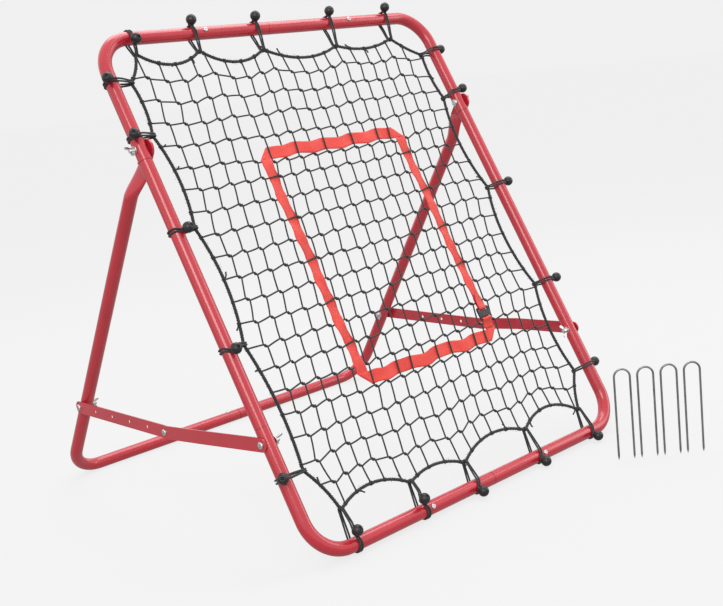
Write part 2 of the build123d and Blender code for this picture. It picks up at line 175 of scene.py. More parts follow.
def start_material(name):
    """A material with only its output, and its node tree."""
    material = bpy.data.materials.new(name)
    material.use_nodes = True
    tree = material.node_tree
    tree.nodes.clear()
    return material, tree


FLOOR_SEEN = 0.765
FLOOR_BOUNCE = 0.34
paint, tree = start_material("studio_floor")
seen = put(tree, "ShaderNodeLightPath").outputs["Is Camera Ray"]
glow_strength = put(tree, "ShaderNodeMapRange", {"Value": seen, "To Min": FLOOR_BOUNCE, "To Max": FLOOR_SEEN})
glow = put(tree, "ShaderNodeEmission", {"Color": (1, 1, 1, 1), "Strength": glow_strength.outputs[0]})
matte = put(tree, "ShaderNodeBsdfDiffuse", {"Color": (0.1, 0.1, 0.1, 1)})
both = put(tree, "ShaderNodeAddShader", {0: glow.outputs[0], 1: matte.outputs[0]})
put(tree, "ShaderNodeOutputMaterial", {"Surface": both.outputs[0]})
floor.data.materials.append(paint)
print("floor and three panels")

# %% [markdown]
# ## Finishes on the CAD parts
# Powder coat is a thick, baked paint: a red that varies a little, with faint specks, a trace of bump and
# a gloss under a clear skin. The bolts are zinc plated, with a cloudy, uneven tint, and the pegs are
# drawn wire, so their fine scratches run lengthways. All of them read Object coordinates, because the
# CAD meshes carry no UV map.

# %% Helpers that every finish uses
def grain(tree, place, scale, detail=2.0, stretch=(1, 1, 1)):
    """Noise from 0 to 1 over Object coordinates in metres, stretched first."""
    drawn_out = put(tree, "ShaderNodeMapping", {"Vector": place, "Scale": stretch})
    pattern = {"Vector": drawn_out.outputs[0], "Scale": scale, "Detail": detail}
    noise = put(tree, "ShaderNodeTexNoise", pattern)
    return noise.outputs["Fac"]


def spread(tree, value, low, high):
    """Map a noise's middle range to a low and a high number."""
    ranged = put(tree, "ShaderNodeMapRange", {"Value": value, "From Min": 0.3, "From Max": 0.7})
    ranged.inputs["To Min"].default_value = low
    ranged.inputs["To Max"].default_value = high
    return ranged.outputs[0]


def two_tone(tree, value, dark, light):
    """Blend two colours by a value from 0 to 1."""
    mix = put(tree, "ShaderNodeMix", {"Factor": value}, data_type="RGBA")
    mix.inputs["A"].default_value = (*dark, 1)
    mix.inputs["B"].default_value = (*light, 1)
    return mix.outputs["Result"]


def finish_material(material, tree, colour, roughness, height, depth, **fixed):
    """Join colour, roughness and bump to one shader; fixed values go on its own sockets."""
    bump = put(tree, "ShaderNodeBump", {"Height": height, "Distance": depth, "Strength": 0.8})
    surface = {"Base Color": colour, "Roughness": roughness, "Normal": bump.outputs[0]}
    shader = put(tree, "ShaderNodeBsdfPrincipled", surface)
    for name, value in fixed.items():
        shader.inputs[name.replace("_", " ")].default_value = value
    put(tree, "ShaderNodeOutputMaterial", {"Surface": shader.outputs[0]})
    return material


def object_place(tree):
    return put(tree, "ShaderNodeTexCoord").outputs["Object"]


# %% Red powder coat
def powder_coat():
    material, tree = start_material("red_powder_coat_finish")
    place = object_place(tree)
    cloud = spread(tree, grain(tree, place, 14, 3), 0, 1)
    pebble = grain(tree, place, 700, 2)
    speck = put(tree, "ShaderNodeTexVoronoi", {"Vector": place, "Scale": 160})
    near_speck = {"Value": speck.outputs["Distance"], "From Min": 0.05, "From Max": 0.09}
    scuff = put(tree, "ShaderNodeMapRange", near_speck)
    base = two_tone(tree, cloud, (0.47, 0.016, 0.030), (0.52, 0.020, 0.037))
    chipped = put(tree, "ShaderNodeMix", {"Factor": scuff.outputs[0]}, data_type="RGBA")
    chipped.inputs["A"].default_value = (0.43, 0.013, 0.024, 1)
    tree.links.new(base, chipped.inputs["B"])
    rough = spread(tree, grain(tree, place, 60, 4), 0.20, 0.25)
    colour = chipped.outputs["Result"]
    return finish_material(
        material, tree, colour, rough, pebble, 0.00001, Coat_Weight=0.5, Coat_Roughness=0.09
    )


# %% Zinc plate, drawn peg wire and moulded black plastic
def zinc_plate():
    material, tree = start_material("zinc_plate_finish")
    place = object_place(tree)
    cloud = grain(tree, place, 190, 4)
    colour = two_tone(tree, spread(tree, cloud, 0, 1), (0.56, 0.57, 0.58), (0.80, 0.80, 0.77))
    rough = spread(tree, grain(tree, place, 420, 3), 0.22, 0.42)
    pits = grain(tree, place, 1400, 2)
    return finish_material(material, tree, colour, rough, pits, 0.00008, Metallic=1.0)


def peg_steel():
    material, tree = start_material("peg_steel_finish")
    place = object_place(tree)
    drawn = grain(tree, place, 900, 3, stretch=(1, 1, 0.02))
    cloud = spread(tree, grain(tree, place, 55, 4), 0, 1)
    colour = two_tone(tree, cloud, (0.20, 0.20, 0.205), (0.34, 0.34, 0.335))
    rough = spread(tree, drawn, 0.30, 0.50)
    return finish_material(material, tree, colour, rough, drawn, 0.00010, Metallic=1.0)


def black_plastic(name, tone, low, high):
    material, tree = start_material(name)
    place = object_place(tree)
    cloud = spread(tree, grain(tree, place, 120, 3), 0, 1)
    colour = two_tone(tree, cloud, (tone * 0.8,) * 3, (tone * 1.25, tone * 1.25, tone * 1.35))
    rough = spread(tree, grain(tree, place, 260, 3), low, high)
    return finish_material(material, tree, colour, rough, grain(tree, place, 1500, 2), 0.00010)


# %% Put the hard finishes on
FINISHES = {
    "red_powder_coat": powder_coat(),
    "zinc_plate": zinc_plate(),
    "peg_steel": peg_steel(),
    "black_ball_plastic": black_plastic("black_ball_finish", 0.012, 0.26, 0.42),
    "black_buckle_plastic": black_plastic("black_buckle_finish", 0.016, 0.38, 0.55),
}
finished = 0
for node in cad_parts.values():
    for slot in node.material_slots:
        better = FINISHES.get(slot.material.name)
        if better:
            slot.material = better
            finished += 1
print("hard finishes on", finished, "CAD nodes")

# %% [markdown]
# ## Finishes for cord, twine and webbing
# A cord's sheath is woven round it, so its pattern has to follow the cord. Each cord mesh carries two
# attributes from its Geometry Nodes tree: along, the distance in metres, and ring, the direction out
# from the middle. Sines of the two, running opposite ways, give a braid with no seam. The strap has a
# UV map in metres, so its ribs keep their size round every fold.

# %% Braided and twisted finishes
def arithmetic(tree, operation, a, b=0.0):
    node = put(tree, "ShaderNodeMath", {0: a, 1: b}, operation=operation)
    return node.outputs[0]


def read_attribute(tree, name, output):
    return put(tree, "ShaderNodeAttribute", attribute_name=name).outputs[output]


def helix_wave(tree, starts, pitch):
    """A wave from 0 to 1 whose crests wind round the cord; a negative pitch winds the other way."""
    apart = put(tree, "ShaderNodeSeparateXYZ", {0: read_attribute(tree, "ring", "Vector")})
    angle = arithmetic(tree, "ARCTAN2", apart.outputs["Y"], apart.outputs["X"])
    turns = arithmetic(tree, "MULTIPLY", read_attribute(tree, "along", "Fac"), 2 * math.pi / pitch)
    phase = arithmetic(tree, "ADD", arithmetic(tree, "MULTIPLY", angle, float(starts)), turns)
    return arithmetic(tree, "MULTIPLY_ADD", arithmetic(tree, "SINE", phase), 0.5)


def braided_finish(name, dark, light, pitch, starts, depth, fuzz):
    material, tree = start_material(name)
    right_hand = helix_wave(tree, starts, pitch)
    left_hand = helix_wave(tree, starts, -pitch)
    weave = arithmetic(tree, "MAXIMUM", right_hand, left_hand)
    fluff = grain(tree, object_place(tree), 900, 3)
    height = arithmetic(tree, "ADD", weave, arithmetic(tree, "MULTIPLY", fluff, fuzz))
    # The colour follows the braid's height. This is painted shade: darker in the grooves between the strands
    # and lighter on their crests, plus a random tone from the fluff.
    colour = two_tone(tree, spread(tree, height, 0, 1), dark, light)
    rough = spread(tree, fluff, 0.72, 0.92)
    return finish_material(
        material, tree, colour, rough, height, depth, Sheen_Weight=0.15, Sheen_Roughness=0.5
    )


FINISHES["black_elastic_cord"] = braided_finish(
    "elastic_cord_finish", (0.006, 0.006, 0.007), (0.030, 0.030, 0.033), 0.0046, 4, 0.00035, 0.5
)
FINISHES["black_net_twine"] = braided_finish(
    "net_twine_finish", (0.006, 0.006, 0.006), (0.026, 0.026, 0.027), 0.0034, 2, 0.0003, 0.8
)
FINISHES["black_border_rope"] = braided_finish(
    "border_rope_finish", (0.005, 0.005, 0.006), (0.024, 0.024, 0.026), 0.0030, 3, 0.0003, 0.9
)


# %% Woven webbing
RIB_PITCH = 1.6 * MM
WARP_PITCH = 2.1 * MM


def webbing():
    material, tree = start_material("webbing_finish")
    apart = put(tree, "ShaderNodeSeparateXYZ", {0: put(tree, "ShaderNodeTexCoord").outputs["UV"]})
    rib_turns = 2 * math.pi / RIB_PITCH
    warp_turns = 2 * math.pi / WARP_PITCH
    ribs = arithmetic(tree, "SINE", arithmetic(tree, "MULTIPLY", apart.outputs["Y"], rib_turns))
    warps = arithmetic(tree, "SINE", arithmetic(tree, "MULTIPLY", apart.outputs["X"], warp_turns))
    weave = arithmetic(tree, "MULTIPLY_ADD", arithmetic(tree, "MULTIPLY", ribs, warps), 0.5)
    place = object_place(tree)
    cloud = grain(tree, place, 26, 3)
    fibre = grain(tree, place, 1500, 2)
    # The weave's share of the colour is painted shade, darker in the grooves between ribs and warps. The
    # cloud's share is the webbing's own uneven tone.
    fine = arithmetic(tree, "MULTIPLY", weave, 0.30)
    weave_shade_and_tone = arithmetic(tree, "ADD", fine, arithmetic(tree, "MULTIPLY", cloud, 0.75))
    colour = two_tone(tree, spread(tree, weave_shade_and_tone, 0, 1), (0.62, 0.026, 0.016), (0.80, 0.062, 0.042))
    height = arithmetic(tree, "ADD", weave, arithmetic(tree, "MULTIPLY", fibre, 0.35))
    rough = spread(tree, fibre, 0.48, 0.66)
    return finish_material(
        material, tree, colour, rough, height, 0.00025, Sheen_Weight=0.2, Sheen_Roughness=0.4
    )


FINISHES["orange_red_webbing"] = webbing()
print("finishes:", ", ".join(FINISHES))

# %% [markdown]
# ## Geometry Nodes trees
# Three small trees make everything that follows a path or repeats. One turns chains of edges into
# cord, one lays three strands round each other as rope, and one puts a knot on every vertex. Each is
# built once with named inputs and used for several pieces.

# %% Build and run a tree
def start_tree(name, sizes):
    """A Geometry Nodes tree with a geometry input, named inputs, and its two end nodes."""
    tree = bpy.data.node_groups.new(name, "GeometryNodeTree")
    tree.interface.new_socket("Geometry", in_out="INPUT", socket_type="NodeSocketGeometry")
    for label, kind in sizes.items():
        tree.interface.new_socket(label, in_out="INPUT", socket_type="NodeSocket" + kind)
    tree.interface.new_socket("Geometry", in_out="OUTPUT", socket_type="NodeSocketGeometry")
    return tree, tree.nodes.new("NodeGroupInput").outputs


def end_tree(tree, geometry, material):
    """Every tree ends with real geometry, smooth shading and its material."""
    real = put(tree, "GeometryNodeRealizeInstances", {"Geometry": geometry})
    smooth = put(tree, "GeometryNodeSetShadeSmooth", {"Geometry": real.outputs[0]})
    painted = put(tree, "GeometryNodeSetMaterial", {"Geometry": smooth.outputs[0], "Material": material})
    put(tree, "NodeGroupOutput", {"Geometry": painted.outputs[0]})


def run_tree(piece, tree, values):
    """Run a tree on a piece and keep the result as its plain mesh."""
    modifier = piece.modifiers.new(tree.name, "NODES")
    modifier.node_group = tree
    for item in tree.interface.items_tree:
        if item.in_out == "INPUT" and item.name in values:
            modifier[item.identifier] = values[item.name]
    graph = bpy.context.evaluated_depsgraph_get()
    made = bpy.data.meshes.new_from_object(piece.evaluated_get(graph), depsgraph=graph)
    piece.modifiers.clear()
    piece.data = made


def new_piece(name, points, edges=(), faces=()):
    """An object at the origin whose mesh has these points, edges and faces."""
    mesh = bpy.data.meshes.new(name)
    mesh.from_pydata([tuple(point) for point in points], list(edges), list(faces))
    piece = bpy.data.objects.new(name, mesh)
    bpy.context.scene.collection.objects.link(piece)
    return piece


def join_pieces(name, pieces):
    """Join several mesh objects into the first and name the result."""
    bpy.ops.object.select_all(action="DESELECT")
    for piece in pieces:
        piece.select_set(True)
    bpy.context.view_layer.objects.active = pieces[0]
    if len(pieces) > 1:
        bpy.ops.object.join()
    pieces[0].name = name
    return pieces[0]


def hand_over(piece, slot, *replaced):
    """Stand a finished net piece up in the frame, hang it on the front frame's body and hide the CAD nodes
    that it replaces.
    """
    piece.data.transform(net_to_frame)
    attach(piece, "front_frame")
    if replaced:
        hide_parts(*replaced)
    triangles = sum(len(face.vertices) - 2 for face in piece.data.polygons)
    print(piece.name, triangles, "triangles")


# %% The cord tree
def store(tree, geometry, kind, name, value, domain="POINT"):
    node = put(
        tree, "GeometryNodeStoreNamedAttribute", {"Geometry": geometry, "Name": name},
        data_type=kind, domain=domain,
    )
    tree.links.new(value, node.inputs["Value"])
    return node.outputs[0]


def ring_profile(tree, radius, sides):
    """A small circle that carries its own outward direction."""
    circle = put(tree, "GeometryNodeCurvePrimitiveCircle", {"Resolution": sides, "Radius": radius})
    outward = put(tree, "GeometryNodeInputPosition").outputs[0]
    return store(tree, circle.outputs[0], "FLOAT_VECTOR", "ring", outward)


def cord_tree():
    tree, given = start_tree("cord", {"Radius": "Float", "Sides": "Int", "Material": "Material"})
    curve = put(tree, "GeometryNodeMeshToCurve", {"Mesh": given["Geometry"]}).outputs[0]
    distance = put(tree, "GeometryNodeSplineParameter").outputs["Length"]
    measured = store(tree, curve, "FLOAT", "along", distance)
    profile = ring_profile(tree, given["Radius"], given["Sides"])
    sheath = {"Curve": measured, "Profile Curve": profile, "Fill Caps": True}
    skin = put(tree, "GeometryNodeCurveToMesh", sheath)
    end_tree(tree, skin.outputs[0], given["Material"])
    return tree


CORD_TREE = cord_tree()
print("tree:", CORD_TREE.name)


# %% The laid rope tree
def rope_tree():
    """Three strands wound round a flat curve. Pitch is the length of one full turn."""
    sizes = {"Radius": "Float", "Pitch": "Float", "Step": "Float", "Material": "Material"}
    tree, given = start_tree("laid_rope", sizes)
    curve = put(tree, "GeometryNodeMeshToCurve", {"Mesh": given["Geometry"]}).outputs[0]
    even = put(tree, "GeometryNodeResampleCurve", {"Curve": curve, "Length": given["Step"]}, mode="LENGTH")
    distance = put(tree, "GeometryNodeSplineParameter").outputs["Length"]
    measured = store(tree, even.outputs[0], "FLOAT", "along", distance)
    copies = put(tree, "GeometryNodeDuplicateElements", {"Geometry": measured, "Amount": 3}, domain="SPLINE")
    third = arithmetic(tree, "MULTIPLY", copies.outputs["Duplicate Index"], 2 * math.pi / 3)
    turns = arithmetic(tree, "MULTIPLY", arithmetic(tree, "DIVIDE", distance, given["Pitch"]), 2 * math.pi)
    angle = arithmetic(tree, "ADD", turns, third)
    arm = arithmetic(tree, "MULTIPLY", given["Radius"], 0.52)
    sideways = arithmetic(tree, "MULTIPLY", arithmetic(tree, "COSINE", angle), arm)
    upwards = arithmetic(tree, "MULTIPLY", arithmetic(tree, "SINE", angle), arm)
    tangent = put(tree, "GeometryNodeInputTangent").outputs[0]
    normal = put(tree, "ShaderNodeVectorMath", {0: tangent, 1: (0, 0, 1)}, operation="CROSS_PRODUCT")
    side = put(tree, "ShaderNodeVectorMath", {0: normal.outputs[0], "Scale": sideways}, operation="SCALE")
    lift = put(tree, "ShaderNodeCombineXYZ", {"Z": upwards})
    offset = put(tree, "ShaderNodeVectorMath", {0: side.outputs[0], 1: lift.outputs[0]}, operation="ADD")
    wound = put(tree, "GeometryNodeSetPosition", {"Geometry": copies.outputs[0], "Offset": offset.outputs[0]})
    profile = ring_profile(tree, arithmetic(tree, "MULTIPLY", given["Radius"], 0.5), 6)
    skin = put(tree, "GeometryNodeCurveToMesh", {"Curve": wound.outputs[0], "Profile Curve": profile})
    end_tree(tree, skin.outputs[0], given["Material"])
    return tree


ROPE_TREE = rope_tree()


# %% The knot tree
def lump(tree, size):
    """A low round body, scaled to half sizes along the knot, across it and through it."""
    ball = put(tree, "GeometryNodeMeshUVSphere", {"Segments": 8, "Rings": 6, "Radius": 1.0})
    return put(tree, "GeometryNodeTransform", {"Geometry": ball.outputs["Mesh"], "Scale": size}).outputs[0]


def wrap(tree, size, thickness, slide, lean):
    """A turn of twine round the knot's long axis, slid along it and leaning over."""
    turn = put(tree, "GeometryNodeCurvePrimitiveCircle", {"Resolution": 10, "Radius": size})
    section = put(tree, "GeometryNodeCurvePrimitiveCircle", {"Resolution": 5, "Radius": thickness})
    rails = {"Curve": turn.outputs[0], "Profile Curve": section.outputs[0]}
    skin = put(tree, "GeometryNodeCurveToMesh", rails)
    upright = {"Geometry": skin.outputs[0], "Translation": (slide, 0, 0), "Rotation": (0, math.pi / 2, lean)}
    return put(tree, "GeometryNodeTransform", upright).outputs[0]


def knot_tree(name, shapes):
    """Put the same small shape on every vertex, turned by its turn attribute and a seeded wobble."""
    tree, given = start_tree(name, {"Wobble": "Float", "Seed": "Int", "Material": "Material"})
    shape = put(tree, "GeometryNodeJoinGeometry")
    for part in shapes(tree):
        tree.links.new(part, shape.inputs[0])
    turn = put(tree, "GeometryNodeInputNamedAttribute", {"Name": "turn"}, data_type="FLOAT").outputs[0]
    shake = put(tree, "FunctionNodeRandomValue", {"Seed": given["Seed"]}, data_type="FLOAT")
    tree.links.new(given["Wobble"], shake.inputs[3])
    tree.links.new(arithmetic(tree, "MULTIPLY", given["Wobble"], -1.0), shake.inputs[2])
    about = arithmetic(tree, "ADD", turn, shake.outputs[1])
    rotation = put(tree, "ShaderNodeCombineXYZ", {"X": shake.outputs[1], "Z": about}).outputs[0]
    size = put(tree, "FunctionNodeRandomValue", {"Seed": given["Seed"]}, data_type="FLOAT")
    size.inputs[2].default_value = 0.88
    size.inputs[3].default_value = 1.12
    points = {"Points": given["Geometry"], "Instance": shape.outputs[0]}
    placed = put(
        tree, "GeometryNodeInstanceOnPoints", {**points, "Rotation": rotation, "Scale": size.outputs[1]}
    )
    end_tree(tree, placed.outputs[0], given["Material"])
    return tree


def net_knot(tree):
    yield lump(tree, (5.4 * MM, 2.4 * MM, 2.4 * MM))
    yield wrap(tree, 2.2 * MM, 1.1 * MM, -1.1 * MM, 0.5)
    yield wrap(tree, 2.2 * MM, 1.1 * MM, 1.4 * MM, -0.35)


def lashing(tree):
    for slide, lean in ((-1.3, 0.2), (1.0, -0.15)):
        yield wrap(tree, 3.3 * MM, 0.9 * MM, slide * MM, lean)


KNOT_TREE = knot_tree("net_knots", net_knot)
LASHING_TREE = knot_tree("border_lashings", lashing)
print("trees:", CORD_TREE.name, ROPE_TREE.name, KNOT_TREE.name, LASHING_TREE.name)

# %% [markdown]
# ## The border rope
# A thick laid rope runs round the net and carries all its pull. The bungees hold it out at twenty
# ties and it falls back in an arc between them, so it reads as a row of scallops. The ties and the
# depth of each scallop are the same as the CAD rope's, in millimetres on the net's plane.

# %% Draw the border's line
TOP_TIES = [(-336, 944), (-199, 939), (-52, 930), (136, 923), (296, 928)]
RIGHT_TIES = [(366, 881), (369, 772), (371, 553), (371, 323), (363, 124)]
BOTTOM_TIES = [(321, 47), (155, 55), (-26, 46), (-164, 54), (-327, 60)]
LEFT_TIES = [(-366, 144), (-374, 378), (-370, 599), (-373, 781), (-370, 887)]
TIES = [Vector(tie) * MM for tie in TOP_TIES + RIGHT_TIES + BOTTOM_TIES + LEFT_TIES]
SAGS = [26, 26, 23, 15, 4, 7, 19, 22, 17, 5, 29, 25, 16, 24, 5, 11, 15, 13, 7, 5]
ARC_STEPS = 14


def scallop(start, end, sag):
    """Points on the arc from one tie to the next, bowed towards the net's middle."""
    chord = end - start
    inward = Vector((chord.y, -chord.x)).normalized()
    radius = (chord.length ** 2 / 4 + sag ** 2) / (2 * sag)
    centre = (start + end) / 2 + inward * (sag - radius)
    spoke = (start - centre).angle_signed(end - centre)
    for step in range(ARC_STEPS):
        turn = Matrix.Rotation(-spoke * step / ARC_STEPS, 2)
        yield centre + turn @ (start - centre)


border = []
for index, tie in enumerate(TIES):
    border.extend(scallop(tie, TIES[(index + 1) % len(TIES)], SAGS[index] * MM))
border_length = sum((border[index] - border[index - 1]).length for index in range(len(border)))
print("border rope %.3f m round" % border_length)

# %% Lay the border rope
ROPE_RADIUS = 3.3 * MM
ROPE_PITCH = 13.0 * MM
ROPE_STEP = 2.6 * MM


def flat_ring(count, first=0):
    """The edges that close a chain of points into a ring."""
    return [(first + index, first + (index + 1) % count) for index in range(count)]


border_rope = new_piece("border_rope", [(*point, 0) for point in border], flat_ring(len(border)))
whole_turns = round(border_length / ROPE_PITCH)
run_tree(border_rope, ROPE_TREE, {
    "Radius": ROPE_RADIUS,
    "Pitch": border_length / whole_turns,
    "Step": ROPE_STEP,
    "Material": FINISHES["black_border_rope"],
})
print("rope turns:", whole_turns)

# %% [markdown]
# ## The square mesh
# Each mesh knot is a short, thick diagonal: two twines come in at its upper left end and leave from its
# lower right end. That small step at every knot is what makes a knotted net look different from a
# grid of crossing lines. Near the border the rows and columns follow the scallops, less and less
# towards the middle, and beside the strap they are pushed apart to let it through.

# %% Set out the knots
COLUMNS = 19
ROWS = 19
FIRST_COLUMN = -328.6 * MM
COLUMN_PITCH = 35.92 * MM
FIRST_ROW = 878.0 * MM
ROW_PITCH = 42.67 * MM
KNOT_STEP = Vector((3.6, -2.8)) * MM
STRAP_LEFT = -161.0 * MM
STRAP_RIGHT = 191.0 * MM
STRAP_BOTTOM = 253.0 * MM
STRAP_TOP = 713.0 * MM
NET_MIDDLE = 490.0 * MM
# The border's level where a line of knots needs no shift, on each side of the net.
LEVELS = {"top": 915.0 * MM, "bottom": 70.0 * MM, "left": -363.0 * MM, "right": 360.0 * MM}
# Share of a scallop's depth that the first row or column follows, and that each further one keeps.
ROW_FOLLOWS = 0.72
COLUMN_FOLLOWS = 0.6
KEPT = 0.6
BESIDE = 20.0 * MM
PAST_STRAP = 50.0 * MM
dice = random.Random(41)


def reach_border(start, direction):
    """The nearest point of the border's line from a point, in a direction."""
    far = start + direction
    hits = []
    for index in range(len(border)):
        hit = intersect_line_line_2d(start, far, border[index - 1], border[index])
        if hit:
            hits.append(hit)
    return min(hits, key=lambda hit: (hit - start).length)


def fade(value, low, high, blur):
    """1 between low and high, falling smoothly to 0 over blur outside them."""
    outside = max(low - value, value - high, 0) / blur
    return math.exp(-outside * outside)


def knot_place(column, row):
    """A knot's place: on the even grid, then shifted by the border, by the strap and by chance."""
    x = FIRST_COLUMN + column * COLUMN_PITCH
    s = FIRST_ROW - row * ROW_PITCH
    middle_point = Vector((x, NET_MIDDLE))
    top = reach_border(middle_point, Vector((0, 1))).y - LEVELS["top"]
    bottom = reach_border(middle_point, Vector((0, -1))).y - LEVELS["bottom"]
    side_point = Vector((0, s))
    left = reach_border(side_point, Vector((-1, 0))).x - LEVELS["left"]
    right = reach_border(side_point, Vector((1, 0))).x - LEVELS["right"]
    s += ROW_FOLLOWS * (top * KEPT ** row + bottom * KEPT ** (ROWS - 1 - row))
    x += COLUMN_FOLLOWS * (left * KEPT ** column + right * KEPT ** (COLUMNS - 1 - column))
    in_width = fade(x, STRAP_LEFT, STRAP_RIGHT, PAST_STRAP)
    beside_top = in_width * fade(s, 700 * MM, 722 * MM, BESIDE)
    beside_bottom = in_width * fade(s, 228 * MM, 240 * MM, BESIDE)
    in_height = fade(s, STRAP_BOTTOM, STRAP_TOP, PAST_STRAP)
    beside_left = in_height * fade(x, -155 * MM, -144 * MM, BESIDE)
    beside_right = in_height * fade(x, 172 * MM, 182 * MM, BESIDE)
    s -= (12 * beside_top + 2 * beside_bottom) * MM
    x += (5 * beside_left - 6 * beside_right) * MM
    return Vector((x + dice.uniform(-1.3, 1.3) * MM, s + dice.uniform(-1.6, 1.6) * MM))


knots = [[knot_place(column, row) for row in range(ROWS)] for column in range(COLUMNS)]
print("knots:", COLUMNS * ROWS)

# %% String the twine between them
TWINE_RADIUS = 1.6 * MM
STRAY = 0.08
net_points = []
net_edges = []
lashing_points = []


def string(start, end, bow=0.8 * MM):
    """One length of twine that bows a little to one side."""
    side = Vector((end.y - start.y, start.x - end.x)).normalized() * dice.uniform(-bow, bow)
    lift = dice.uniform(-0.5, 0.5) * MM
    first = len(net_points)
    for share, out in ((0, 0), (0.33, 0.85), (0.67, 0.85), (1, 0)):
        net_points.append((*(start.lerp(end, share) + side * out), lift * out))
    net_edges.extend((first + step, first + step + 1) for step in range(3))


def string_to_border(start, direction):
    """A length of twine that ends on the border, not quite straight ahead."""
    aside = Vector((dice.uniform(-STRAY, STRAY), dice.uniform(-STRAY, STRAY)))
    end = reach_border(start, direction + aside)
    string(start, end)
    lashing_points.append(end)


for column in range(COLUMNS):
    for row in range(ROWS - 1):
        string(knots[column][row] + KNOT_STEP, knots[column][row + 1] - KNOT_STEP)
    string_to_border(knots[column][0] - KNOT_STEP, Vector((0, 1)))
    string_to_border(knots[column][-1] + KNOT_STEP, Vector((0, -1)))
for row in range(ROWS):
    for column in range(COLUMNS - 1):
        string(knots[column][row] + KNOT_STEP, knots[column + 1][row] - KNOT_STEP)
    string_to_border(knots[0][row] - KNOT_STEP, Vector((-1, 0)))
    string_to_border(knots[-1][row] + KNOT_STEP, Vector((1, 0)))
print("lengths of twine:", len(net_edges) // 3, "lashings:", len(lashing_points))

# %% Leave some cut ends beside the border
CUT_ENDS = 26
TAIL_BOW = 3 * MM
for end in dice.sample(lashing_points, CUT_ENDS):
    tail = Vector((dice.uniform(-1, 1), dice.uniform(-1, 1))).normalized() * dice.uniform(10, 17) * MM
    string(end, end + tail, TAIL_BOW)
print("cut ends:", CUT_ENDS)

# %% Make the net's mesh
def turned_points(name, places, turns):
    """A cloud of points that carry the angle at which each shape stands."""
    cloud = new_piece(name, [(*place, 0) for place in places])
    attribute = cloud.data.attributes.new("turn", "FLOAT", "POINT")
    attribute.data.foreach_set("value", turns)
    return cloud


def border_angle(place):
    """Which way the border runs at a point on it."""
    nearest = min(range(len(border)), key=lambda index: (border[index] - place).length)
    run = border[(nearest + 1) % len(border)] - border[nearest - 1]
    return math.atan2(run.y, run.x)


twine = new_piece("net_twine", net_points, net_edges)
run_tree(twine, CORD_TREE, {"Radius": TWINE_RADIUS, "Sides": 6, "Material": FINISHES["black_net_twine"]})
all_knots = [knot for line in knots for knot in line]
knot_angle = math.atan2(KNOT_STEP.y, KNOT_STEP.x)
net_knots = turned_points("net_knots", all_knots, [knot_angle] * len(all_knots))
run_tree(net_knots, KNOT_TREE, {"Wobble": 0.3, "Seed": 3, "Material": FINISHES["black_net_twine"]})
lashings = turned_points("lashings", lashing_points, [border_angle(place) for place in lashing_points])
run_tree(lashings, LASHING_TREE, {"Wobble": 0.2, "Seed": 8, "Material": FINISHES["black_net_twine"]})
hand_over(join_pieces("net_mesh", [twine, net_knots, lashings]), "black_net_twine", "net_panel")

# %% [markdown]
# ## Fuzz on the border rope
# Soft rope sheds fine fibres. Points scattered over the rope's skin each carry one short bent hair,
# so the rope's outline is never a clean line. The hairs have three sides and a few faces each.

# %% Grow the fibres
def fuzz_tree():
    """Short bent hairs over a surface, all from one seed."""
    sizes = {"Density": "Float", "Length": "Float", "Seed": "Int", "Material": "Material"}
    tree, given = start_tree("fuzz", sizes)
    skin = {"Mesh": given["Geometry"], "Seed": given["Seed"]}
    scatter = put(tree, "GeometryNodeDistributePointsOnFaces", skin)
    tree.links.new(given["Density"], scatter.inputs["Density"])
    bent = put(tree, "GeometryNodeCurveQuadraticBezier", {"Resolution": 3, "Start": (0, 0, 0)})
    middle_z = arithmetic(tree, "MULTIPLY", given["Length"], 0.6)
    halfway = put(tree, "ShaderNodeCombineXYZ", {"Z": middle_z})
    end_x = arithmetic(tree, "MULTIPLY", given["Length"], 0.55)
    end_z = arithmetic(tree, "MULTIPLY", given["Length"], 0.9)
    end = put(tree, "ShaderNodeCombineXYZ", {"X": end_x, "Z": end_z})
    tree.links.new(halfway.outputs[0], bent.inputs["Middle"])
    tree.links.new(end.outputs[0], bent.inputs["End"])
    section = put(tree, "GeometryNodeCurvePrimitiveCircle", {"Resolution": 3, "Radius": 0.16 * MM})
    hair = put(
        tree, "GeometryNodeCurveToMesh",
        {"Curve": bent.outputs[0], "Profile Curve": section.outputs[0], "Fill Caps": True},
    )
    size = put(tree, "FunctionNodeRandomValue", {"Seed": given["Seed"]}, data_type="FLOAT")
    size.inputs[2].default_value = 0.5
    size.inputs[3].default_value = 1.3
    spin = put(tree, "FunctionNodeRandomValue", {"Seed": given["Seed"]}, data_type="FLOAT")
    spin.inputs[3].default_value = 2 * math.pi
    about_z = put(tree, "ShaderNodeCombineXYZ", {"Z": spin.outputs[1]})
    turned_hair = put(
        tree, "FunctionNodeRotateRotation",
        {"Rotation": scatter.outputs["Rotation"], "Rotate By": about_z.outputs[0]}, rotation_space="LOCAL",
    )
    placed = put(
        tree, "GeometryNodeInstanceOnPoints",
        {"Points": scatter.outputs["Points"], "Instance": hair.outputs[0], "Scale": size.outputs[1]},
    )
    tree.links.new(turned_hair.outputs[0], placed.inputs["Rotation"])
    end_tree(tree, placed.outputs[0], given["Material"])
    return tree


fuzz = new_piece("rope_fuzz", [(0, 0, 0)])
fuzz.data = border_rope.data.copy()
run_tree(fuzz, fuzz_tree(), {
    "Density": 17000.0,
    "Length": 3.4 * MM,
    "Seed": 5,
    "Material": FINISHES["black_border_rope"],
})
hand_over(join_pieces("border_rope", [border_rope, fuzz]), "black_border_rope", "net_border_rope")

# %% [markdown]
# ## Ball bungees
# Each bungee is one elastic loop with a plastic ball on it. It goes round the rail, through the border
# rope and back under its own ball, and it is stretched, so it takes the shortest way round all three.
# That way is a convex hull: hull the rail's circle, the rope's circle and the ball's foot, and the tight
# loop appears. Two strands run side by side, close at the rope and the ball and apart on the rail.

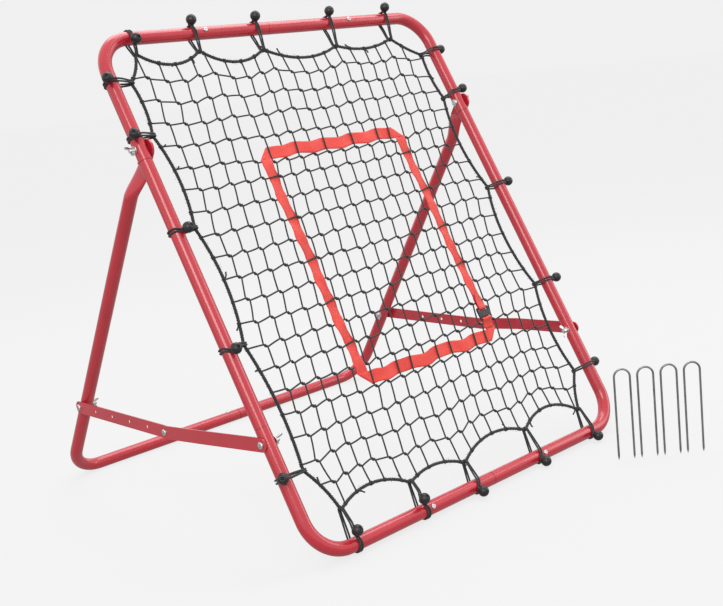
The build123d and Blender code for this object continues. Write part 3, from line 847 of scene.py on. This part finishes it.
# %% Find the balls
def solid_middles(node):
    """The middle of each separate solid in a CAD node, on the net's plane."""
    mesh = bmesh.new()
    mesh.from_mesh(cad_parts[node].data)
    bmesh.ops.remove_doubles(mesh, verts=mesh.verts, dist=1e-6)
    waiting = set(mesh.verts)
    middles = []
    while waiting:
        island = [waiting.pop()]
        for vertex in island:
            for edge in vertex.link_edges:
                other = edge.other_vert(vertex)
                if other in waiting:
                    waiting.remove(other)
                    island.append(other)
        low = Vector(min(vertex.co[axis] for vertex in island) for axis in range(3))
        high = Vector(max(vertex.co[axis] for vertex in island) for axis in range(3))
        middles.append(frame_to_net @ ((low + high) / 2))
    mesh.free()
    return middles


SIDES = {
    "top": (TOP_TIES, Vector((0, 1)), Vector((1, 0)), rail_length),
    "right": (RIGHT_TIES, Vector((1, 0)), Vector((0, 1)), half_width),
    "bottom": (BOTTOM_TIES, Vector((0, -1)), Vector((1, 0)), 0.0),
    "left": (LEFT_TIES, Vector((-1, 0)), Vector((0, 1)), half_width),
}
BALL_RADIUS = 10.0 * MM
CORD_RADIUS = 1.7 * MM
RAIL_CLEARANCE = 0.05 * MM
ROPE_CLEARANCE = 0.2 * MM
FOOT_DEPTH = 1.2 * MM
LONGEST_RUN = 4.5 * MM
print("balls:", sum(len(solid_middles("bungee_balls_" + side)) for side in SIDES))

# %% Work out one tight loop
def circle_points(middle_point, radius, count):
    for step in range(count):
        angle = 2 * math.pi * step / count
        yield middle_point + radius * Vector((math.cos(angle), math.sin(angle)))


def hull_path(points):
    return [points[index] for index in convex_hull_2d(points)]


def nearest_on(path, place):
    """The nearest point of a closed path to a place."""
    best = None
    for index in range(len(path)):
        a, b = path[index - 1], path[index]
        share = max(0.0, min(1.0, (place - a).dot(b - a) / (b - a).length_squared))
        point = a.lerp(b, share)
        if best is None or (point - place).length < (best - place).length:
            best = point
    return best


def fine_path(path, longest):
    """The same closed path with no run longer than a given length."""
    for index in range(len(path)):
        a, b = path[index - 1], path[index]
        pieces = max(1, math.ceil((b - a).length / longest))
        for step in range(pieces):
            yield a.lerp(b, step / pieces)


def ease(value):
    value = max(0.0, min(1.0, value))
    return value * value * (3 - 2 * value)


def tight_loop(tie, ball):
    """The loop's section, as (outwards from the rail, towards the thrower), and the ball's foot."""
    hug = tube_radius + CORD_RADIUS + RAIL_CLEARANCE
    grip = ROPE_RADIUS + CORD_RADIUS + ROPE_CLEARANCE
    points = [*circle_points(Vector((0, 0)), hug, 32), *circle_points(Vector((tie, 0)), grip, 12)]
    lean = (ball - nearest_on(hull_path(points), ball)).normalized()
    foot_point = ball - lean * (BALL_RADIUS - FOOT_DEPTH)
    path = hull_path(points + [foot_point])
    return list(fine_path(path, LONGEST_RUN)), foot_point, lean


# %% Make the cords and the balls
STRAND_APART = 2.7 * MM
STRAND_CLOSE = 1.75 * MM
NEAR_BALL = 20.0 * MM
NECK_RADIUS = 4.3 * MM


def bungee(tie, ball, out, along, level):
    """The two strands of one bungee as rings of points, and the ball's axis."""
    tie_reach = tie.dot(out) - level
    ball_section = Vector((ball.xy.dot(out) - level, ball.z))
    path, foot_point, lean = tight_loop(tie_reach, ball_section)
    tie_spot = tie.dot(along)
    ball_spot = ball.xy.dot(along)
    rail_spot = tie_spot + 0.6 * max(ball_spot - tie_spot, 0)
    rings = []
    for hand in (-1, 1):
        ring = []
        for point in path:
            at_rope = ease((-point.x - tube_radius) / (-tie_reach - tube_radius))
            at_ball = ease(1 - (point - foot_point).length / NEAR_BALL)
            spot = rail_spot + at_rope * (tie_spot - rail_spot) + at_ball * (ball_spot - rail_spot)
            apart = STRAND_APART + (STRAND_CLOSE - STRAND_APART) * max(at_rope, at_ball)
            flat = out * (level + point.x) + along * (spot + hand * apart)
            ring.append((*flat, point.y))
        rings.append(ring)
    axis = (out * lean.x).to_3d() + Vector((0, 0, lean.y))
    return rings, axis.normalized()


def neck_ring(ball, axis, count=12):
    """The loop's end, drawn tight round the ball's foot."""
    stand = axis.to_track_quat("Z", "Y")
    for point in circle_points(Vector((0, 0)), NECK_RADIUS, count):
        yield ball + stand @ Vector((*point, -BALL_RADIUS * 0.93))


def ball_profile():
    """The ball's section as (radius, height): bored through, with a fine mould line at its middle."""
    bore = 2.7 * MM
    rim = math.asin((bore + 0.5 * MM) / BALL_RADIUS)
    steps = 16
    for step in range(steps + 1):
        angle = rim + (math.pi - 2 * rim) * step / steps
        swell = 0.12 * MM if step == steps // 2 else 0
        yield (BALL_RADIUS + swell) * math.sin(angle), -(BALL_RADIUS + swell) * math.cos(angle)
    mouth = BALL_RADIUS * math.cos(rim) - 0.6 * MM
    for step in range(4):
        yield bore, mouth * (1 - 2 * step / 3)


def lathe(profile, segments=28):
    """Points and faces of a closed section turned about Z."""
    rings = len(profile)
    points, faces = [], []
    for segment in range(segments):
        angle = 2 * math.pi * segment / segments
        points += [(radius * math.cos(angle), radius * math.sin(angle), z) for radius, z in profile]
        here, there = segment * rings, (segment + 1) % segments * rings
        for index in range(rings):
            after = (index + 1) % rings
            faces.append((here + index, there + index, there + after, here + after))
    return points, faces


def place_mesh(mesh, place, axis):
    """Stand a mesh drawn on Z at a place, along an axis."""
    mesh.transform(Matrix.Translation(place) @ axis.to_track_quat("Z", "Y").to_matrix().to_4x4())


ball_points, ball_faces = lathe(list(ball_profile()))
for side, (ties, out, along, level) in SIDES.items():
    middles = solid_middles("bungee_balls_" + side)
    cord_points, cord_edges, balls = [], [], []
    for tie in [Vector(tie) * MM for tie in ties]:
        ball = min(middles, key=lambda spot: abs(spot.xy.dot(along) - tie.dot(along)))
        rings, axis = bungee(tie, ball, out, along, level)
        for ring in rings + [list(neck_ring(ball, axis))]:
            cord_edges += flat_ring(len(ring), len(cord_points))
            cord_points += ring
        cord_edges.append((len(cord_points), len(cord_points) + 1))
        cord_points += [ball, ball + axis * BALL_RADIUS * 0.82]
        shape = new_piece("ball", ball_points, (), ball_faces)
        place_mesh(shape.data, ball, axis)
        shape.data.materials.append(FINISHES["black_ball_plastic"])
        shape.data.polygons.foreach_set("use_smooth", [True] * len(shape.data.polygons))
        balls.append(shape)
    cords = new_piece("bungees_" + side, cord_points, cord_edges)
    elastic = FINISHES["black_elastic_cord"]
    run_tree(cords, CORD_TREE, {"Radius": CORD_RADIUS, "Sides": 9, "Material": elastic})
    hand_over(cords, "black_elastic_cord", "bungee_loops_" + side)
    hand_over(join_pieces("balls_" + side, balls), "black_ball_plastic", "bungee_balls_" + side)

# %% [markdown]
# ## The target strap
# One length of webbing makes the whole target. It is woven through the mesh, under one twine and over
# another, and at each corner it is folded over on itself at 45 degrees, so the corner is cut off and two
# layers lie in the corner's inner half. Each side is a strip of quads whose ends are cut on the slant,
# with its height over the net eased between the twines that it crosses.

# %% Find the twines that the strap crosses
def crossings(upright, line):
    """Where the strap's middle line meets the twines that run across it, in order."""
    found = []
    lines, crossed = (ROWS, COLUMNS) if upright else (COLUMNS, ROWS)
    for index in range(lines):
        for step in range(crossed - 1):
            first = knots[step][index] if upright else knots[index][step]
            second = knots[step + 1][index] if upright else knots[index][step + 1]
            a, b = first + KNOT_STEP, second - KNOT_STEP
            low, high = (a.x, b.x) if upright else (b.y, a.y)
            if low <= line <= high:
                share = (line - low) / (high - low)
                found.append(a.y + (b.y - a.y) * share if upright else b.x + (a.x - b.x) * share)
    return sorted(found)


# Over (+) or under (-) each twine in turn.
WEAVES = {
    "bottom": "-+--+--+-",
    "top": "-+-+-+-+-",
    "left": "+-+-+-+-+-+-",
    "right": "--+-+-+-+-+-",
}
WEAVE_HEIGHT = 2.3 * MM
STRAP_HALF = 12.5 * MM
STRAP_THICK = 1.2 * MM
STRAP_SIDES = {
    "left": (True, STRAP_LEFT, STRAP_BOTTOM, STRAP_TOP, -1),
    "right": (True, STRAP_RIGHT, STRAP_BOTTOM, STRAP_TOP, 1),
    "bottom": (False, STRAP_BOTTOM, STRAP_LEFT, STRAP_RIGHT, -1),
    "top": (False, STRAP_TOP, STRAP_LEFT, STRAP_RIGHT, 1),
}
for name, (upright, line, start, end, outward) in STRAP_SIDES.items():
    met = [spot for spot in crossings(upright, line) if start < spot < end]
    print(name, "side crosses", len(met), "twines")

# %% Build the strap
def woven_height(distance, keys):
    """The strap's height at a distance, eased between (distance, height) keys."""
    for (a, low), (b, high) in zip(keys, keys[1:]):
        if a <= distance <= b:
            return low + (high - low) * ease((distance - a) / (b - a))
    return 0.0


def strip(name, places, uvs, columns):
    """A sheet of quads, columns points wide, with a UV map in metres."""
    rows = len(places) // columns
    corners = [row * columns + column for row in range(rows - 1) for column in range(columns - 1)]
    faces = [(corner, corner + 1, corner + 1 + columns, corner + columns) for corner in corners]
    piece = new_piece(name, places, (), faces)
    layer = piece.data.uv_layers.new(name="UVMap")
    for loop in piece.data.loops:
        layer.data[loop.index].uv = uvs[loop.vertex_index]
    return piece


def thicken(piece, thickness):
    """Give a sheet its real thickness about its middle, with closed edges."""
    solid = piece.modifiers.new("thickness", "SOLIDIFY")
    solid.thickness = thickness
    solid.offset = 0
    graph = bpy.context.evaluated_depsgraph_get()
    made = bpy.data.meshes.new_from_object(piece.evaluated_get(graph), depsgraph=graph)
    piece.modifiers.clear()
    piece.data = made
    piece.data.materials.append(FINISHES["orange_red_webbing"])
    piece.data.polygons.foreach_set("use_smooth", [True] * len(piece.data.polygons))


STRAP_COLUMNS = 9
LAYER = 0.75 * MM
# The upright sides twist a little: less where a twine holds them, more between two twines.
TILT_AT_TWINE = math.radians(5)
TILT_FREE = math.radians(9)
TWINE_HOLDS = 4 * MM     # how far from a twine the strap is still held
LETS_GO = 12 * MM        # the length over which it comes free
CORNER_HOLDS = 10 * MM   # the same beside a corner
CORNER_LETS_GO = 40 * MM
STEADY = 6 * MM          # flat length beside a corner's middle
BEYOND = 30 * MM
WANDER = 1.0 * MM        # how far the strap strays sideways
LEAN_WITH_HEIGHT = -1.25
CUP = 0.35 * MM          # how far its edges rise
ROW_LENGTH = 4 * MM
FOLD_FADES = 14 * MM     # where the second layer of a folded corner ends
FOLD_OPENS = 3 * MM


def strap_side(name):
    """One side of the target, cut on the slant at both ends and woven through the twines."""
    upright, line, start, end, outward = STRAP_SIDES[name]
    met = [spot for spot in crossings(upright, line) if start + STRAP_HALF < spot < end - STRAP_HALF]
    signs = [1 if mark == "+" else -1 for mark in WEAVES[name]]
    keys = [(start - BEYOND, 0), (start + STEADY, 0)]
    keys += [(spot, signs[index % len(signs)] * WEAVE_HEIGHT) for index, spot in enumerate(met)]
    keys += [(end - STEADY, 0), (end + BEYOND, 0)]
    layer = -LAYER if upright else LAYER
    rows = round((end - start) / ROW_LENGTH)
    places, uvs = [], []
    for row in range(rows + 1):
        for column in range(STRAP_COLUMNS):
            offset = STRAP_HALF * (2 * column / (STRAP_COLUMNS - 1) - 1)
            first, last = start + offset, end - offset
            distance = first + (last - first) * row / rows
            from_fold = min(distance - first, last - distance)
            height = woven_height(distance, keys)
            from_corner = min(distance - start, end - distance)
            calm = ease((from_corner - CORNER_HOLDS) / CORNER_LETS_GO)
            drift = calm * (LEAN_WITH_HEIGHT * height + WANDER * math.sin(distance * 31 + line * 50))
            cup = CUP * (offset / STRAP_HALF) ** 2 * math.sin(distance * 47)
            to_twine = min(abs(distance - spot) for spot in met)
            free = ease((to_twine - TWINE_HOLDS) / LETS_GO)
            tilt = calm * (TILT_AT_TWINE + TILT_FREE * free) if upright else 0.0
            in_corner = 1 - ease((from_corner - STRAP_HALF) / FOLD_FADES)
            height += layer * in_corner * ease(from_fold / FOLD_OPENS) + cup * calm
            height -= outward * offset * math.sin(tilt)
            sideways = line + outward * offset * math.cos(tilt) + drift
            flat = (sideways, distance) if upright else (distance, sideways)
            places.append((*flat, height))
            uvs.append((offset, distance))
    sheet = strip("strap_" + name, places, uvs, STRAP_COLUMNS)
    thicken(sheet, STRAP_THICK)
    return sheet


strap_sides = [strap_side(name) for name in STRAP_SIDES]
print("strap sides:", len(strap_sides))

# %% Add the strap's ends at the buckle
BUCKLE_PLACE = Vector((STRAP_RIGHT - 3 * MM, 298 * MM))
BUCKLE_HEIGHT = 4.2 * MM
# Each end as (up the slope from the buckle's middle, height over the net), in millimetres.
SEWN_LOOP = [(-30, -0.5), (-24, 0.2), (-18, 2.2), (-14.5, 5.4)]
SEWN_LOOP += [(-12.2, 6.9), (-9.9, 6.6), (-8.7, 4.6), (-8.6, 2.2)]
FREE_TAIL = [(8.4, 2.0), (8.6, 4.6), (9.9, 6.7), (12.2, 7.1)]
FREE_TAIL += [(15, 6.4), (21, 4.9), (28, 4.1), (35, 4.6), (41, 6.2)]
FLAT_POINTS = 5  # points of a path before its edges start to curl


def strap_end(name, path, curl=0.0, twist=0.0):
    """A strip along a path beside the buckle; towards its end its edges curl and its face turns."""
    places, uvs = [], []
    for index, (rise, height) in enumerate(path):
        turn = twist * index / (len(path) - 1)
        for column in range(STRAP_COLUMNS):
            offset = STRAP_HALF * (2 * column / (STRAP_COLUMNS - 1) - 1)
            rolled = curl * (offset / STRAP_HALF) ** 2 * max(index - FLAT_POINTS, 0)
            place = BUCKLE_PLACE + Vector((offset * math.cos(turn), rise * MM))
            places.append((*place, (height + rolled) * MM - offset * math.sin(turn)))
            uvs.append((offset, rise * MM))
    sheet = strip(name, places, uvs, STRAP_COLUMNS)
    smooth = sheet.modifiers.new("smooth", "SUBSURF")
    smooth.levels = smooth.render_levels = 1
    thicken(sheet, STRAP_THICK)
    return sheet


def face_outwards(piece, merge=False):
    """Turn a closed mesh's faces outwards, after merging the points that lie on each other."""
    mesh = bmesh.new()
    mesh.from_mesh(piece.data)
    if merge:
        bmesh.ops.remove_doubles(mesh, verts=mesh.verts, dist=1e-6)
    bmesh.ops.recalc_face_normals(mesh, faces=mesh.faces)
    mesh.to_mesh(piece.data)
    mesh.free()


TAIL_CURL = 0.5
TAIL_TWIST = math.radians(26)
strap_ends = [strap_end("sewn_loop", SEWN_LOOP), strap_end("free_tail", FREE_TAIL, TAIL_CURL, TAIL_TWIST)]
strap = join_pieces("strap", strap_sides + strap_ends)
face_outwards(strap)
hand_over(strap, "orange_red_webbing", "target_strap")

# %% [markdown]
# ## The slide buckle
# A moulded ladder buckle takes up the strap: one end is sewn round its lower bar, and the free end comes
# out of its upper slot. A filled curve with two holes is the quickest way to an even, bevelled plate: the
# outline and the slots are rounded rectangles, and the curve's extrude and bevel give it soft edges.

# %% Mould the buckle
def rounded_rectangle(width, height, radius, lift=0.0):
    """Corner arcs of a rounded rectangle, in order."""
    for corner, (sx, sy) in enumerate(((1, 1), (-1, 1), (-1, -1), (1, -1))):
        middle_x = sx * (width / 2 - radius)
        middle_y = sy * (height / 2 - radius) + lift
        for step in range(5):
            angle = math.pi / 2 * (corner + step / 4)
            yield middle_x + radius * math.cos(angle), middle_y + radius * math.sin(angle)


BUCKLE_WIDTH = 32 * MM
BUCKLE_LENGTH = 26 * MM
BUCKLE_CORNER = 3.5 * MM
SLOT = (27.5 * MM, 4.4 * MM, 1.2 * MM)
SLOT_LIFT = 8.0 * MM

plate = bpy.data.curves.new("buckle", "CURVE")
plate.dimensions = "2D"
plate.fill_mode = "BOTH"
plate.extrude = 1.3 * MM
plate.bevel_depth = 0.5 * MM
plate.bevel_resolution = 3
outlines = [
    rounded_rectangle(BUCKLE_WIDTH, BUCKLE_LENGTH, BUCKLE_CORNER),
    rounded_rectangle(*SLOT, SLOT_LIFT),
    rounded_rectangle(*SLOT, -SLOT_LIFT),
]
for outline in outlines:
    points = list(outline)
    spline = plate.splines.new("POLY")
    spline.points.add(len(points) - 1)
    for point, (x, y) in zip(spline.points, points):
        point.co = (x, y, 0, 1)
    spline.use_cyclic_u = True
drawn = bpy.data.objects.new("buckle_outline", plate)
bpy.context.scene.collection.objects.link(drawn)
graph = bpy.context.evaluated_depsgraph_get()
moulded = bpy.data.meshes.new_from_object(drawn.evaluated_get(graph), depsgraph=graph)
buckle = bpy.data.objects.new("buckle", moulded)
bpy.context.scene.collection.objects.link(buckle)
bpy.data.objects.remove(drawn)
face_outwards(buckle, merge=True)
buckle.data.transform(Matrix.Translation((*BUCKLE_PLACE, BUCKLE_HEIGHT)))
buckle.data.materials.append(FINISHES["black_buckle_plastic"])
hand_over(buckle, "black_buckle_plastic", "strap_buckle")
